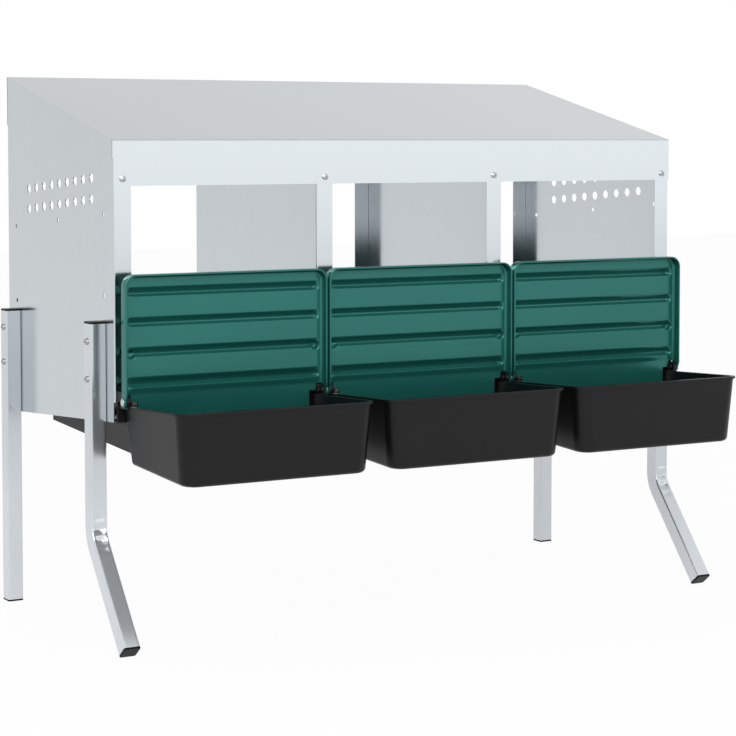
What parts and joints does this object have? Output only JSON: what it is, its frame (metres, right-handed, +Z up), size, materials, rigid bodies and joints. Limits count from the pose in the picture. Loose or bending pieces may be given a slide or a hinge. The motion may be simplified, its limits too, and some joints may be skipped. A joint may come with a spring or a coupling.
{
  "type": "chicken nesting box",
  "caption": "Roll-away chicken nesting box: folded sheet-metal places under one sloping roof on tube legs, with egg trays that slide out and hinged lids over their troughs",
  "frame": {"origin": "on the floor, below the middle of the box around the object", "axes": "X to the right as seen from the egg troughs, Y from the troughs to the open rear, Z up"},
  "size_m": [0.9206, 0.5485, 0.7257],
  "materials": {
    "galvanised_sheet": "bright galvanised sheet, smooth",
    "tube_steel": "zinc-plated square tube",
    "plated_steel": "zinc-plated fasteners and hinge pins",
    "black_plastic": "moulded black polypropylene, satin",
    "green_plastic": "moulded dark green polypropylene, glossy"
  },
  "bodies": {
    "frame": {"left_side_panel": "galvanised_sheet", "right_side_panel": "galvanised_sheet", "left_divider": "galvanised_sheet", "right_divider": "galvanised_sheet", "left_divider_runner": "galvanised_sheet", "right_divider_runner": "galvanised_sheet", "roof": "galvanised_sheet", "rear_tie_rail": "galvanised_sheet", "front_left_leg": "tube_steel", "front_right_leg": "tube_steel", "rear_left_leg": "tube_steel", "rear_right_leg": "tube_steel", "front_left_leg_cap": "black_plastic", "front_right_leg_cap": "black_plastic", "rear_left_leg_cap": "black_plastic", "rear_right_leg_cap": "black_plastic", "front_left_foot_plug": "black_plastic", "front_right_foot_plug": "black_plastic", "rear_left_foot_plug": "black_plastic", "rear_right_foot_plug": "black_plastic", "leg_bolts": "plated_steel", "leg_nuts": "plated_steel", "fascia_screws": "plated_steel", "rear_skirt_screws": "plated_steel", "tie_rail_screws": "plated_steel"},
    "left_tray": {"left_egg_tray": "black_plastic", "left_lid_pins": "plated_steel", "left_lid_pin_caps": "black_plastic"},
    "left_lid": {"left_egg_lid": "green_plastic"},
    "middle_tray": {"middle_egg_tray": "black_plastic", "middle_lid_pins": "plated_steel", "middle_lid_pin_caps": "black_plastic"},
    "middle_lid": {"middle_egg_lid": "green_plastic"},
    "right_tray": {"right_egg_tray": "black_plastic", "right_lid_pins": "plated_steel", "right_lid_pin_caps": "black_plastic"},
    "right_lid": {"right_egg_lid": "green_plastic"}
  },
  "joints": [
    {"name": "left_tray_slide", "type": "slide", "parent": "frame", "child": "left_tray", "axis": [0, -0.998, 0.0637], "range_m": [0, 0.15]},
    {"name": "left_lid_hinge", "type": "hinge", "parent": "left_tray", "child": "left_lid", "pos_m": [-0.29, -0.11815, 0.3115], "axis": [1, 0, 0], "range_deg": [0, 90]},
    {"name": "middle_tray_slide", "type": "slide", "parent": "frame", "child": "middle_tray", "axis": [0, -0.998, 0.0637], "range_m": [0, 0.15]},
    {"name": "middle_lid_hinge", "type": "hinge", "parent": "middle_tray", "child": "middle_lid", "pos_m": [0, -0.11815, 0.3115], "axis": [1, 0, 0], "range_deg": [0, 90]},
    {"name": "right_tray_slide", "type": "slide", "parent": "frame", "child": "right_tray", "axis": [0, -0.998, 0.0637], "range_m": [0, 0.15]},
    {"name": "right_lid_hinge", "type": "hinge", "parent": "right_tray", "child": "right_lid", "pos_m": [0.29, -0.11815, 0.3115], "axis": [1, 0, 0], "range_deg": [0, 90]}
  ]
}
